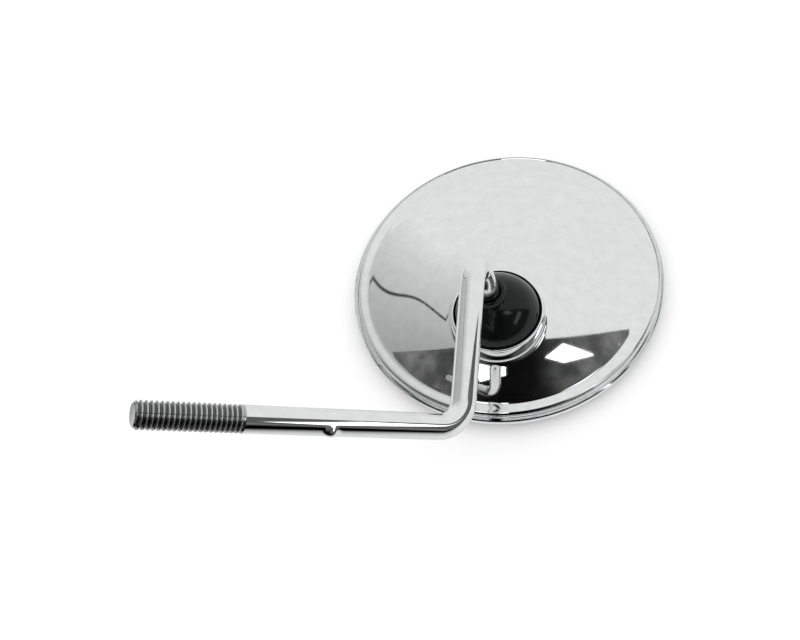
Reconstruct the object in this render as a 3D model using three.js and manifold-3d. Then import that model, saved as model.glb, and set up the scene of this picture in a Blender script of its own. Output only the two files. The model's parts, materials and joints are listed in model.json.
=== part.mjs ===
// Round convex mirror on a bent, threaded chrome stem, with a ball joint off-centre in its back.
// Millimetres, +Z up. The head lies glass-down on its rim and the stem rises from the ball joint.
// The origin is under the middle of the whole object, in the plane that the rim rests on.
import * as THREE from 'three';
import { mergeVertices } from 'three/addons/utils/BufferGeometryUtils.js';
import Module from 'manifold-3d';

const wasm = await Module();
wasm.setup();

// ---- Driving dimensions -------------------------------------------------------------------------

// Head, in its own frame: the mirror's axis is Z and the rim rests on z = 0.
const HEAD_X = 13.47;
const HEAD_Y = 22.57;
const RIM_RADIUS = 57;
const SHEET = 0.9;                 // thickness of the pressed steel
const DOME_RADIUS = 92;            // the pressed back is part of a sphere
const DOME_EDGE_RADIUS = 50.7;
const DOME_EDGE_Z = 8.1;
const SHOULDER_RADIUS = 55.2;      // outside of the shell's turned-down edge
const FLANGE_REACH = 0.5;          // how far the foot of that edge stands out, to be clamped
const FLANGE_TOP_Z = 6;
const SHELL_FOOT_Z = 5.4;
const LIP_RADIUS = 55.5;           // free edge of the ring's rolled lip
const RING_TOP_Z = 6.9;
const RING_INNER = 52.4;           // free edge of the ring in front of the glass
const RING_WALL_INNER = 56.05;
const RING_FLOOR_Z = 0.95;
const DOME_CENTRE_Z = DOME_EDGE_Z - Math.sqrt(DOME_RADIUS ** 2 - DOME_EDGE_RADIUS ** 2);

// Glass and what lies behind it.
const GLASS_RADIUS = 54;
const GLASS_CURVE = 1000;          // radius of curvature of the reflecting face
const GLASS_THICK = 2;
const GLASS_LOW_Z = 0.7;           // the front of the glass stays above the resting plane
const FIT = 0.3;                   // room left between pieces that touch
const GASKET_INNER = 52.5;
const GASKET_OUTER = 55.1;
const GASKET_LOW_Z = 1.2;
const GASKET_TOP_Z = 5.15;
const PAD_THICK = 1;
const PAD_RADIUS = 51.5;

// Ball joint. Its centre is off the mirror's axis, towards -Y.
const BALL_Y = -22.5;
const BALL_Z = 18.5;
const BALL_RADIUS = 6;
const SLEEVE_INNER = 6.2;
const SLEEVE_OUTER = 7.2;
const SEAT_RADIUS = 7.5;
const CAP_RADIUS = 16;             // black cap, concentric with the ball
const CAP_WALL = 1.8;
const CAP_EDGE_ANGLE = 96.7;       // degrees from the cap's pole to its lower edge
const COLLAR_WALL = 1.7;
const COLLAR_RISE = 0.9;           // how far the cap's collar stands above its pole
const BOSS_TOP_Z = BALL_Z + 4.1;
const BOSS_BORE = CAP_RADIUS + FIT;
const HOUSING_RADIUS = 10.5;
const HOUSING_BORE = 8.8;
const HOUSING_TOP_Z = BALL_Z + 5;
const HOUSING_FLOOR_Z = 5.4;
const FLANGE_RADIUS = 13.5;        // the housing's flange bears on the bridge plate from below
const FLANGE_LOW_Z = 7.1;
const HOUSING_FLOOR_THICK = 1.2;
const SPRING_LOW_Z = 6.8;          // outer edge of the dished spring; its inner edge is higher
const SPRING_DISH = 0.8;
const SPRING_THICK = 0.6;
const CUP_LOW_Z = 8.5;
const CUP_CHAMFER = 0.6;

// Bridge plate, held to the shell by three studs in a circle round the ball.
const PLATE_LOW_Z = 8.6;
const PLATE_TOP_Z = 9.8;
const STUD_CIRCLE = 19.5;
const STUD_RADIUS = 2;
const STUD_LOW_Z = 5.2;
const LOBE_RADIUS = 4.6;
const NUT_FLATS = 7;
const NUT_LOW_Z = 5.6;
const NUT_HEIGHT = 2.2;
const WASHER_LOW_Z = 7.9;
const WASHER_THICK = 0.6;
const WASHER_OUTER = 3.6;
const STUD_ANGLES = [90, 210, 330];

// Stem: corner points of its centre line before the bends are rounded, from the free end inwards.
const ROD_RADIUS = 3.97;           // 5/16 inch rod
const STEM_TIP = new THREE.Vector3(-81.8, -98.8, 103.1);
const STEM_ELBOW = new THREE.Vector3(-5.8, -75.2, 43.3);
const STEM_CROWN = new THREE.Vector3(-4.1, -21.6, 55.7);
const BALL_CENTRE = new THREE.Vector3(0, BALL_Y, BALL_Z);
const BEND_RADIUS = 7;
const BEND_STEPS = 7;
const ROD_SIDES = 16;
const THREAD_PITCH = 25.4 / 18;
const THREAD_TURNS = 21;
const THREAD_ROOT = 3.3;
const NECK_RADIUS = 3;
const NECK_START = 13.2;           // from the ball's centre up to where the full rod begins
const SPIGOT_RADIUS = 2;
const SPIGOT_DEPTH = -3;           // how far the spigot passes the ball's centre
const NIB_FROM_TIP = 55.3;
const NIB_SIDE = new THREE.Vector3(0.125, -0.984, 0.125);
const NIB_OFFSET = 2.7;            // from the rod's centre line to the middle of the nib
const NIB_SIZE = [2, 1.7, 2.3];    // half sizes: outwards, along the rod and across

const HEAD_SEGMENTS = 48;
const CAP_SEGMENTS = 36;
const JOINT_SEGMENTS = 24;

// ---- Finishes -----------------------------------------------------------------------------------

function finish(color, roughness, metalness) {
  return new THREE.MeshStandardMaterial({ color, roughness, metalness });
}

const chrome = () => finish(0xd9dbdc, 0.06, 1);
const steel = () => finish(0x9a9c9e, 0.4, 1);
const blackPlastic = () => finish(0x0b0c0c, 0.12, 0);
const rubber = () => finish(0x161616, 0.8, 0);
const nylon = () => finish(0xe6e2d6, 0.5, 0);
const felt = () => finish(0x3b3a38, 0.95, 0);
const silvered = () => finish(0xe9eef0, 0.02, 1);

// ---- Helpers ------------------------------------------------------------------------------------

const degrees = (angle) => (angle * Math.PI) / 180;

// Turns the faces outwards when a profile has been drawn the other way round.
function outward(geometry) {
  const position = geometry.attributes.position;
  const index = geometry.index.array;
  const corner = [new THREE.Vector3(), new THREE.Vector3(), new THREE.Vector3()];
  let volume = 0;
  for (let i = 0; i < index.length; i += 3) {
    corner.forEach((point, k) => point.fromBufferAttribute(position, index[i + k]));
    volume += corner[0].dot(corner[1].cross(corner[2]));
  }
  if (volume < 0) {
    for (let i = 0; i < index.length; i += 3) {
      [index[i], index[i + 1]] = [index[i + 1], index[i]];
    }
  }
  return geometry;
}

// Welds a geometry down to its shared corners.
function welded(geometry) {
  geometry.deleteAttribute('normal');
  geometry.deleteAttribute('uv');
  const merged = mergeVertices(geometry, 1e-4);
  const index = [];
  const source = merged.index.array;
  for (let i = 0; i < source.length; i += 3) {
    const [a, b, c] = source.subarray(i, i + 3);
    if (a !== b && b !== c && c !== a) {
      index.push(a, b, c);
    }
  }
  merged.setIndex(index);
  return outward(merged);
}

// A turned piece: profile points are [radius, z] and the axis is Z.
function turned(profile, segments = HEAD_SEGMENTS) {
  const points = profile.map(([radius, z]) => new THREE.Vector2(radius, z));
  return welded(new THREE.LatheGeometry(points, segments).rotateX(Math.PI / 2));
}

// Points of a circular arc in a profile, about a centre on the axis, angles measured from +Z.
function arc(centreZ, radius, fromAngle, toAngle, steps) {
  const points = [];
  for (let i = 0; i <= steps; i += 1) {
    const angle = degrees(fromAngle + ((toAngle - fromAngle) * i) / steps);
    points.push([radius * Math.sin(angle), centreZ + radius * Math.cos(angle)]);
  }
  return points;
}

function toManifold(geometry) {
  return new wasm.Manifold(new wasm.Mesh({
    numProp: 3,
    vertProperties: new Float32Array(geometry.attributes.position.array),
    triVerts: new Uint32Array(geometry.index.array),
  }));
}

function toGeometry(manifold) {
  const mesh = manifold.getMesh();
  const geometry = new THREE.BufferGeometry();
  geometry.setAttribute('position', new THREE.BufferAttribute(mesh.vertProperties, 3));
  geometry.setIndex(new THREE.BufferAttribute(mesh.triVerts, 1));
  geometry.computeVertexNormals();
  return geometry;
}

function cylinder(radius, lowZ, highZ, segments = JOINT_SEGMENTS) {
  return turned([[0, lowZ], [radius, lowZ], [radius, highZ], [0, highZ]], segments);
}

// Angle from the dome's axis at which the dome reaches a given radius.
function domeAngle(radius, domeRadius) {
  return (Math.asin(radius / domeRadius) * 180) / Math.PI;
}

function domeHeight(radius, domeRadius = DOME_RADIUS) {
  return DOME_CENTRE_Z + Math.sqrt(domeRadius ** 2 - radius ** 2);
}

const head = new THREE.Group();
head.position.set(HEAD_X, HEAD_Y, 0);

function add(name, geometry, material, parent = head) {
  const mesh = new THREE.Mesh(geometry, material);
  mesh.name = name;
  parent.add(mesh);
  return mesh;
}

// ---- Head ---------------------------------------------------------------------------------------

// The pressed back: a dome with a turned-down edge and a round boss for the ball joint.
function backShell() {
  const innerDome = DOME_RADIUS - SHEET;
  const outerAngle = domeAngle(DOME_EDGE_RADIUS, DOME_RADIUS);
  const innerEdge = DOME_EDGE_RADIUS - SHEET / 2;
  const innerAngle = domeAngle(innerEdge, innerDome);
  const outside = [
    ...arc(DOME_CENTRE_Z, DOME_RADIUS, 0, outerAngle, 6),
    [DOME_EDGE_RADIUS + 1.9, DOME_EDGE_Z - 0.35],
    [SHOULDER_RADIUS - 1, DOME_EDGE_Z - 0.45],
    [SHOULDER_RADIUS - 0.2, DOME_EDGE_Z - 0.7],
    [SHOULDER_RADIUS, DOME_EDGE_Z - 1.2],
    [SHOULDER_RADIUS, FLANGE_TOP_Z],
    [SHOULDER_RADIUS + FLANGE_REACH, FLANGE_TOP_Z],
    [SHOULDER_RADIUS + FLANGE_REACH, SHELL_FOOT_Z],
  ];
  const floor = [[0, SHELL_FOOT_Z]];
  const inside = [
    [0, SHELL_FOOT_Z - 1],
    [SHOULDER_RADIUS - SHEET, SHELL_FOOT_Z - 1],
    [SHOULDER_RADIUS - SHEET, DOME_EDGE_Z - 1.5],
    [SHOULDER_RADIUS - 1.6, DOME_EDGE_Z - 1.3],
    [innerEdge + 1.5, DOME_EDGE_Z - 1.2],
    ...arc(DOME_CENTRE_Z, innerDome, innerAngle, 0, 4),
  ];
  const body = toManifold(turned([...outside, ...floor]));
  const hollow = toManifold(turned(inside));
  const bossRadius = BOSS_BORE + SHEET;
  const boss = toManifold(turned([
    [0, SHELL_FOOT_Z],
    [bossRadius, SHELL_FOOT_Z],
    [bossRadius, BOSS_TOP_Z - 0.5],
    [bossRadius - 0.35, BOSS_TOP_Z],
    [0, BOSS_TOP_Z],
  ]).translate(0, BALL_Y, 0));
  const bore = toManifold(cylinder(BOSS_BORE, SHELL_FOOT_Z - 1, BOSS_TOP_Z + 5, HEAD_SEGMENTS)
    .translate(0, BALL_Y, 0));
  return toGeometry(body.add(boss.subtract(hollow)).subtract(hollow).subtract(bore));
}

// The rolled ring that clamps shell, gasket and glass together.
function rimRing() {
  const lipLow = FLANGE_TOP_Z + FIT;
  return turned([
    [RING_INNER, 0.25], [RING_INNER + 0.5, 0], [RIM_RADIUS - 1.4, 0], [RIM_RADIUS - 0.5, 0.4],
    [RIM_RADIUS, 1.5], [RIM_RADIUS, RING_TOP_Z - 1.5], [RIM_RADIUS - 0.3, RING_TOP_Z - 0.5],
    [RIM_RADIUS - 1, RING_TOP_Z], [LIP_RADIUS, RING_TOP_Z], [LIP_RADIUS, lipLow],
    [RING_WALL_INNER, lipLow], [RING_WALL_INNER, RING_FLOOR_Z + 0.75],
    [RING_WALL_INNER - 0.75, RING_FLOOR_Z], [RING_INNER + 0.2, RING_FLOOR_Z], [RING_INNER, 0.25],
  ]);
}

// Height of the glass's two faces above the resting plane at a given radius.
const glassFront = (radius) => GLASS_LOW_Z + radius ** 2 / (2 * GLASS_CURVE);
const glassBack = (radius) => glassFront(radius) + GLASS_THICK;

function radialSteps(radius, steps) {
  return Array.from({ length: steps + 1 }, (_, i) => (radius * i) / steps);
}

function mirrorGlass() {
  const front = radialSteps(GLASS_RADIUS, 3).map((radius) => [radius, glassFront(radius)]);
  const back = radialSteps(GLASS_RADIUS, 3).map((radius) => [radius, glassBack(radius)]);
  return turned([...front, ...back.reverse()]);
}

function glassGasket() {
  const web = GLASS_RADIUS + FIT;
  const frontLip = glassFront(GASKET_INNER) - FIT;
  const backLip = glassBack(GLASS_RADIUS) + FIT;
  return turned([
    [GASKET_INNER, GASKET_LOW_Z], [GASKET_OUTER, GASKET_LOW_Z], [GASKET_OUTER, GASKET_TOP_Z],
    [GASKET_INNER, GASKET_TOP_Z], [GASKET_INNER, backLip], [web, backLip], [web, frontLip],
    [GASKET_INNER, frontLip], [GASKET_INNER, GASKET_LOW_Z],
  ]);
}

function backingPad() {
  const low = radialSteps(PAD_RADIUS, 2).map((radius) => [radius, glassBack(radius) + FIT]);
  const high = low.map(([radius, z]) => [radius, z + PAD_THICK]);
  return turned([...low, ...high.reverse()]);
}

add('back_shell', backShell(), chrome());
add('rim_ring', rimRing(), chrome());
add('mirror_glass', mirrorGlass(), silvered());
add('glass_gasket', glassGasket(), rubber());
add('backing_pad', backingPad(), felt());

// ---- Ball joint inside the head -----------------------------------------------------------------

const joint = new THREE.Group();
joint.position.set(0, BALL_Y, 0);
head.add(joint);

const studPlaces = STUD_ANGLES.map((angle) => new THREE.Vector2(
  STUD_CIRCLE * Math.cos(degrees(angle)),
  STUD_CIRCLE * Math.sin(degrees(angle)),
));

// Three lobes round the studs, joined by straight sides, with a hole for the socket housing.
function bridgePlate() {
  const shape = new THREE.Shape();
  STUD_ANGLES.forEach((angle, i) => {
    const place = studPlaces[i];
    shape.absarc(place.x, place.y, LOBE_RADIUS, degrees(angle - 60), degrees(angle + 60), false);
  });
  shape.closePath();
  const hole = new THREE.Path();
  hole.absarc(0, 0, HOUSING_RADIUS + FIT, 0, 2 * Math.PI, true);
  shape.holes.push(hole);
  studPlaces.forEach((place) => {
    const studHole = new THREE.Path();
    studHole.absarc(place.x, place.y, STUD_RADIUS + FIT, 0, 2 * Math.PI, true);
    shape.holes.push(studHole);
  });
  const depth = PLATE_TOP_Z - PLATE_LOW_Z;
  const geometry = new THREE.ExtrudeGeometry(shape, { depth, bevelEnabled: false, curveSegments: 10 });
  return welded(geometry.translate(0, 0, PLATE_LOW_Z));
}

function socketHousing() {
  return turned([
    [0, HOUSING_FLOOR_Z], [HOUSING_RADIUS, HOUSING_FLOOR_Z], [HOUSING_RADIUS, FLANGE_LOW_Z],
    [FLANGE_RADIUS, FLANGE_LOW_Z], [FLANGE_RADIUS, PLATE_LOW_Z - FIT],
    [HOUSING_RADIUS, PLATE_LOW_Z - FIT], [HOUSING_RADIUS, HOUSING_TOP_Z - 0.8],
    [HOUSING_RADIUS - 0.8, HOUSING_TOP_Z], [HOUSING_BORE, HOUSING_TOP_Z],
    [HOUSING_BORE, HOUSING_FLOOR_Z + HOUSING_FLOOR_THICK], [0, HOUSING_FLOOR_Z + HOUSING_FLOOR_THICK],
  ], JOINT_SEGMENTS);
}

function discSpring() {
  const outer = HOUSING_BORE - FIT - 0.1;
  const inner = outer / 2;
  const innerLow = SPRING_LOW_Z + SPRING_DISH;
  return turned([
    [inner, innerLow], [outer, SPRING_LOW_Z], [outer, SPRING_LOW_Z + SPRING_THICK],
    [inner, innerLow + SPRING_THICK], [inner, innerLow],
  ], JOINT_SEGMENTS);
}

function pressureCup() {
  const rimDrop = 3.5;
  const rimAngle = 90 + (Math.asin(rimDrop / SEAT_RADIUS) * 180) / Math.PI;
  const outer = HOUSING_BORE - FIT;
  return turned([
    [0, CUP_LOW_Z], [outer - CUP_CHAMFER, CUP_LOW_Z], [outer, CUP_LOW_Z + CUP_CHAMFER],
    [outer, BALL_Z - rimDrop],
    ...arc(BALL_Z, SEAT_RADIUS, rimAngle, 180, 5),
  ], JOINT_SEGMENTS);
}

function retainingRing() {
  const lowAngle = 80;
  const highAngle = 51;
  const outer = HOUSING_BORE - FIT;
  const seat = arc(BALL_Z, SEAT_RADIUS, lowAngle, highAngle, 3);
  const [, lowZ] = seat[0];
  const [, highZ] = seat[seat.length - 1];
  return turned([...seat, [outer, highZ], [outer, lowZ], seat[0]], JOINT_SEGMENTS);
}

add('bridge_plate', bridgePlate(), steel(), joint);
add('socket_housing', socketHousing(), steel(), joint);
add('disc_spring', discSpring(), steel(), joint);
add('pressure_cup', pressureCup(), nylon(), joint);
add('retaining_ring', retainingRing(), steel(), joint);

function springWasher() {
  const inner = STUD_RADIUS + FIT;
  const top = WASHER_LOW_Z + WASHER_THICK;
  return turned([
    [inner, WASHER_LOW_Z], [WASHER_OUTER, WASHER_LOW_Z], [WASHER_OUTER, top], [inner, top],
    [inner, WASHER_LOW_Z],
  ], JOINT_SEGMENTS);
}

function studNut() {
  const shape = new THREE.Shape();
  const corner = NUT_FLATS / 2 / Math.cos(degrees(30));
  for (let i = 0; i < 6; i += 1) {
    const angle = degrees(60 * i);
    const method = i === 0 ? 'moveTo' : 'lineTo';
    shape[method](corner * Math.cos(angle), corner * Math.sin(angle));
  }
  const hole = new THREE.Path();
  hole.absarc(0, 0, STUD_RADIUS + FIT, 0, 2 * Math.PI, true);
  shape.holes.push(hole);
  const options = { depth: NUT_HEIGHT, bevelEnabled: false, curveSegments: 8 };
  return welded(new THREE.ExtrudeGeometry(shape, options).translate(0, 0, NUT_LOW_Z));
}

// A stud is welded under the dome, so its top stops just below the sloping sheet.
function plateStud(place) {
  const farSide = Math.hypot(place.x, place.y + BALL_Y) + STUD_RADIUS;
  const topZ = domeHeight(farSide, DOME_RADIUS - SHEET) - FIT;
  return turned([
    [0, STUD_LOW_Z], [STUD_RADIUS - 0.4, STUD_LOW_Z], [STUD_RADIUS, STUD_LOW_Z + 0.4],
    [STUD_RADIUS, topZ], [0, topZ],
  ], 20);
}

studPlaces.forEach((place, i) => {
  const set = new THREE.Group();
  set.position.set(place.x, place.y, 0);
  joint.add(set);
  add(`plate_stud_${i + 1}`, plateStud(place), steel(), set);
  add(`spring_washer_${i + 1}`, springWasher(), steel(), set);
  add(`stud_nut_${i + 1}`, studNut(), steel(), set);
});

// ---- Stem, ball and cap -------------------------------------------------------------------------

// Pieces on the neck share a group whose Z runs from the ball's centre up the stem's neck.
const neckDirection = STEM_CROWN.clone().sub(BALL_CENTRE).normalize();
const neckTurn = new THREE.Quaternion().setFromUnitVectors(new THREE.Vector3(0, 0, 1), neckDirection);
const neck = new THREE.Group();
neck.position.copy(BALL_CENTRE);
neck.quaternion.copy(neckTurn);
head.add(neck);

function ballSleeve() {
  return turned([
    ...arc(0, SLEEVE_OUTER, 50, 130, 6),
    ...arc(0, SLEEVE_INNER, 130, 50, 6),
    ...arc(0, SLEEVE_OUTER, 50, 50, 1).slice(0, 1),
  ], JOINT_SEGMENTS);
}

function pivotBall() {
  const boreRadius = SPIGOT_RADIUS + FIT;
  const neckFlat = (Math.asin(NECK_RADIUS / BALL_RADIUS) * 180) / Math.PI;
  const [, flatZ] = arc(0, BALL_RADIUS, neckFlat, neckFlat, 1)[0];
  return turned([
    [0, SPIGOT_DEPTH - FIT], [boreRadius, SPIGOT_DEPTH - FIT], [boreRadius, flatZ],
    ...arc(0, BALL_RADIUS, neckFlat, 180, 9),
  ], JOINT_SEGMENTS);
}

// Hollow black cap with a raised collar where the stem comes out.
function ballCap() {
  const holeRadius = ROD_RADIUS + FIT;
  const collarRadius = ROD_RADIUS + COLLAR_WALL;
  const inner = CAP_RADIUS - CAP_WALL;
  const holeAngle = (Math.asin(holeRadius / inner) * 180) / Math.PI;
  const collarAngle = (Math.asin((collarRadius + 0.4) / CAP_RADIUS) * 180) / Math.PI;
  const collarTop = CAP_RADIUS + COLLAR_RISE;
  const inside = arc(0, inner, CAP_EDGE_ANGLE, holeAngle, 6);
  return turned([
    ...arc(0, CAP_RADIUS, collarAngle, CAP_EDGE_ANGLE, 8),
    ...inside,
    [holeRadius, collarTop], [collarRadius - 0.3, collarTop], [collarRadius, collarTop - 0.4],
    ...arc(0, CAP_RADIUS, collarAngle, collarAngle, 1).slice(0, 1),
  ], CAP_SEGMENTS);
}

add('ball_sleeve', ballSleeve(), nylon(), neck);
add('pivot_ball', pivotBall(), steel(), neck);
add('ball_cap', ballCap(), blackPlastic(), neck);

// Centre line of the rod through its two bends, with a station only where the line turns.
class StemLine extends THREE.Curve {
  constructor(stations) {
    super();
    this.stations = stations;
  }

  getUtoTmapping(u) {
    return u;
  }

  getPoint(t) {
    return this.stations[Math.round(t * (this.stations.length - 1))].point.clone();
  }

  getTangent(t) {
    return this.stations[Math.round(t * (this.stations.length - 1))].tangent.clone();
  }
}

// Stations round one bend, from the line a-b to the line b-c.
function bend(a, b, c) {
  const back = a.clone().sub(b).normalize();
  const ahead = c.clone().sub(b).normalize();
  const half = back.angleTo(ahead) / 2;
  const centre = back.clone().add(ahead).normalize().multiplyScalar(BEND_RADIUS / Math.sin(half)).add(b);
  const start = back.clone().multiplyScalar(BEND_RADIUS / Math.tan(half)).add(b);
  const spoke = start.sub(centre);
  const axis = new THREE.Vector3().crossVectors(ahead, back).normalize();
  const sweep = Math.PI - 2 * half;
  const stations = [];
  for (let i = 0; i <= BEND_STEPS; i += 1) {
    const angle = (sweep * i) / BEND_STEPS;
    stations.push({
      point: spoke.clone().applyAxisAngle(axis, angle).add(centre),
      tangent: back.clone().negate().applyAxisAngle(axis, angle),
    });
  }
  return stations;
}

function rod() {
  const legDirection = STEM_ELBOW.clone().sub(STEM_TIP).normalize();
  const threadEnd = legDirection.clone().multiplyScalar(THREAD_PITCH * THREAD_TURNS).add(STEM_TIP);
  const neckStart = neckDirection.clone().multiplyScalar(NECK_START).add(BALL_CENTRE);
  const stations = [
    { point: threadEnd, tangent: legDirection },
    ...bend(STEM_TIP, STEM_ELBOW, STEM_CROWN),
    ...bend(STEM_ELBOW, STEM_CROWN, BALL_CENTRE),
    { point: neckStart, tangent: neckDirection.clone().negate() },
  ];
  const section = new THREE.Shape();
  section.absarc(0, 0, ROD_RADIUS, 0, 2 * Math.PI, false);
  return welded(new THREE.ExtrudeGeometry(section, {
    steps: stations.length - 1,
    curveSegments: ROD_SIDES / 2,
    bevelEnabled: false,
    extrudePath: new StemLine(stations),
  }));
}

// Threaded end: one ridge for each turn, between a chamfered tip and a root run inside the rod.
function threadedEnd() {
  const profile = [[0, 0], [THREAD_ROOT, 0]];
  for (let i = 0; i < THREAD_TURNS; i += 1) {
    profile.push([i === 0 ? THREAD_ROOT + 0.3 : ROD_RADIUS, (i + 0.5) * THREAD_PITCH]);
    profile.push([THREAD_ROOT, (i + 1) * THREAD_PITCH]);
  }
  const inside = THREAD_TURNS * THREAD_PITCH + 2;
  profile.push([THREAD_ROOT, inside], [0, inside]);
  const leg = STEM_ELBOW.clone().sub(STEM_TIP).normalize();
  const turn = new THREE.Quaternion().setFromUnitVectors(new THREE.Vector3(0, 0, 1), leg);
  const geometry = turned(profile, ROD_SIDES).applyQuaternion(turn);
  return geometry.translate(STEM_TIP.x, STEM_TIP.y, STEM_TIP.z);
}

// Necked-down end with the spigot that the ball is pressed on.
function neckEnd() {
  const shoulder = BALL_RADIUS;
  const geometry = turned([
    [0, SPIGOT_DEPTH], [SPIGOT_RADIUS, SPIGOT_DEPTH], [SPIGOT_RADIUS, shoulder],
    [NECK_RADIUS, shoulder], [NECK_RADIUS, NECK_START + 2], [0, NECK_START + 2],
  ], ROD_SIDES).applyQuaternion(neckTurn);
  return geometry.translate(BALL_CENTRE.x, BALL_CENTRE.y, BALL_CENTRE.z);
}

// Small coined nib that stands out of the side of the rod.
function nib() {
  const leg = STEM_ELBOW.clone().sub(STEM_TIP).normalize();
  const side = NIB_SIDE.clone().projectOnPlane(leg).normalize();
  const basis = new THREE.Matrix4().makeBasis(side, leg, new THREE.Vector3().crossVectors(side, leg));
  const centre = leg.clone().multiplyScalar(NIB_FROM_TIP).add(STEM_TIP)
    .addScaledVector(side, NIB_OFFSET);
  const geometry = new THREE.SphereGeometry(1, 12, 8).scale(...NIB_SIZE).applyMatrix4(basis);
  return welded(geometry.translate(centre.x, centre.y, centre.z));
}

const stemSolid = [threadedEnd(), neckEnd(), nib()]
  .map(toManifold)
  .reduce((whole, piece) => whole.add(piece), toManifold(rod()));
add('stem', toGeometry(stemSolid), chrome());

export default head;
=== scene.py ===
# %% [markdown]
# # A round mirror head on a bent chrome stem
#
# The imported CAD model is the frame: it says how big each piece is and where it goes. This script
# never moves a CAD piece. It puts finer pieces in place of the ones that show, and gives every piece
# a finish. Everything is in metres, with +Z up and the head lying glass-down on the floor.

# %% Load the frame
import json
import math

import bpy
from mathutils import Matrix, Vector


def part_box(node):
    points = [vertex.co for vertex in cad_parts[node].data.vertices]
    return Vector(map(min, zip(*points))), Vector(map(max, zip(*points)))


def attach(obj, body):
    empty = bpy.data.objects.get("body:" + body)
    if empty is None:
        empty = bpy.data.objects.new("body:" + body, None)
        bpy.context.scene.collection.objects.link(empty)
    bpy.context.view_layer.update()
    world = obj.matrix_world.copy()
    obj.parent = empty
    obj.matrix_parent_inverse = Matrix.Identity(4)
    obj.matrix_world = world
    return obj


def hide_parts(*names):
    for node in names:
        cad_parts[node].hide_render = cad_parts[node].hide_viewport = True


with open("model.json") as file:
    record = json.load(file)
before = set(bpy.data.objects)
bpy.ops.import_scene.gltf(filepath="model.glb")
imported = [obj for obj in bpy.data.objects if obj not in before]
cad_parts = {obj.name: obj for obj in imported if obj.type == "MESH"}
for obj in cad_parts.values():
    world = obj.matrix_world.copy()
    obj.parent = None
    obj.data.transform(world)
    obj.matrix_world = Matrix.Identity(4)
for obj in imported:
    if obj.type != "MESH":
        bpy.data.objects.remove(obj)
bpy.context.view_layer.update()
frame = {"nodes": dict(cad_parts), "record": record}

MM = 0.001
scene = bpy.context.scene
record = frame["record"]

# %% [markdown]
# ## Places
#
# A visual model has to sit exactly on the CAD model, or its joints turn about the wrong points. So the
# head's middle, the ball's middle and the end of the stem are read from the frame. The rest of the
# script measures everything from these.

# %% Places that the frame gives
ring_low, ring_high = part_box("rim_ring")
HEAD_CENTRE = Vector(((ring_low.x + ring_high.x) / 2, (ring_low.y + ring_high.y) / 2, 0))
RIM_RADIUS = (ring_high.x - ring_low.x) / 2
BALL_CENTRE = Vector(record["behaviour"]["joints"][0]["pos_m"])
mounts = {mount["name"]: mount for mount in record["mounts"]}
STEM_TIP = Vector(mounts["stem_end"]["pos_m"])
TIP_DIRECTION = Vector(mounts["stem_end"]["axis"]).normalized()
print("head centre", [round(v, 4) for v in HEAD_CENTRE], "rim radius", round(RIM_RADIUS, 4))

# %% [markdown]
# ## Camera
#
# The camera comes first, because every later choice is judged through it. A 45 mm lens stands about
# 0.38 m from the head, in front and above, and is rolled a little. Where it looks is written as the
# direction back towards it, which needs no target object.

# %% Camera
CAMERA_OFFSET = Vector((38.88, -192.47, 322.12)) * MM
CAMERA_BACK = Vector((0.2077, -0.4744, 0.8554)).normalized()
CAMERA_UP = Vector((0, 0.8745, 0.485))
LENS = 45

camera_data = bpy.data.cameras.new("camera")
camera_data.lens = LENS
camera = bpy.data.objects.new("camera", camera_data)
scene.collection.objects.link(camera)
across = CAMERA_UP.cross(CAMERA_BACK).normalized()
above = CAMERA_BACK.cross(across)
turn = Matrix((across, above, CAMERA_BACK)).transposed()
camera.matrix_world = Matrix.Translation(HEAD_CENTRE + CAMERA_OFFSET) @ turn.to_4x4()
camera_data.clip_start = 0.01
scene.camera = camera
scene.view_settings.view_transform = "Standard"
print("camera at", [round(v, 3) for v in camera.location])

# %% [markdown]
# ## Building helpers
#
# Nearly every piece here is round, so most of them are a grid of points: rows run round an axis and
# are joined to the next row. A profile is a list of (radius, height, fillet) corners, and the fillet
# turns each corner into an arc, as a real pressed or moulded edge is.

# %% Profile corners to a smooth outline
NO_RADIUS = 1e-9


def filleted(corners, steps=5):
    """Closed outline of (radius, height) points in metres from corners in millimetres."""
    outline = []
    count = len(corners)
    for i in range(count):
        radius, height, fillet = corners[i]
        here = Vector((radius, height))
        back = (Vector(corners[i - 1][:2]) - here).normalized()
        ahead = (Vector(corners[(i + 1) % count][:2]) - here).normalized()
        if fillet == 0:
            outline.append(here * MM)
            continue
        half = back.angle(ahead) / 2
        start = here + back * (fillet / math.tan(half))
        centre = here + (back + ahead).normalized() * (fillet / math.sin(half))
        spoke = start - centre
        sweep = math.pi - 2 * half
        side = 1 if back.x * ahead.y - back.y * ahead.x > 0 else -1
        for k in range(steps + 1):
            angle = -side * sweep * k / steps
            turned_spoke = Matrix.Rotation(-angle, 2) @ spoke
            outline.append((centre + turned_spoke) * MM)
    return outline


# %% Rows of points to a closed mesh
def grid_mesh(name, rows, closed_profile=True):
    """A mesh from rows of points that each run round an axis. Rows of one point close a pole."""
    points = []
    starts = []
    for row in rows:
        starts.append((len(points), len(row)))
        points.extend(tuple(p) for p in row)
    faces = []
    pairs = list(zip(starts, starts[1:]))
    if closed_profile:
        pairs.append((starts[-1], starts[0]))
    for (a, a_count), (b, b_count) in pairs:
        around = max(a_count, b_count)
        for k in range(around):
            n = (k + 1) % around
            corners = [a + k % a_count, a + n % a_count, b + n % b_count, b + k % b_count]
            faces.append(tuple(dict.fromkeys(corners)))
    mesh = bpy.data.meshes.new(name)
    mesh.from_pydata(points, [], faces)
    return outward(mesh)


def outward(mesh):
    """Turns all faces round if the closed mesh is inside out."""
    mesh.calc_loop_triangles()
    volume = 0
    for triangle in mesh.loop_triangles:
        a, b, c = (mesh.vertices[i].co for i in triangle.vertices)
        volume += a.dot(b.cross(c))
    if volume < 0:
        mesh.flip_normals()
    return mesh


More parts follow.
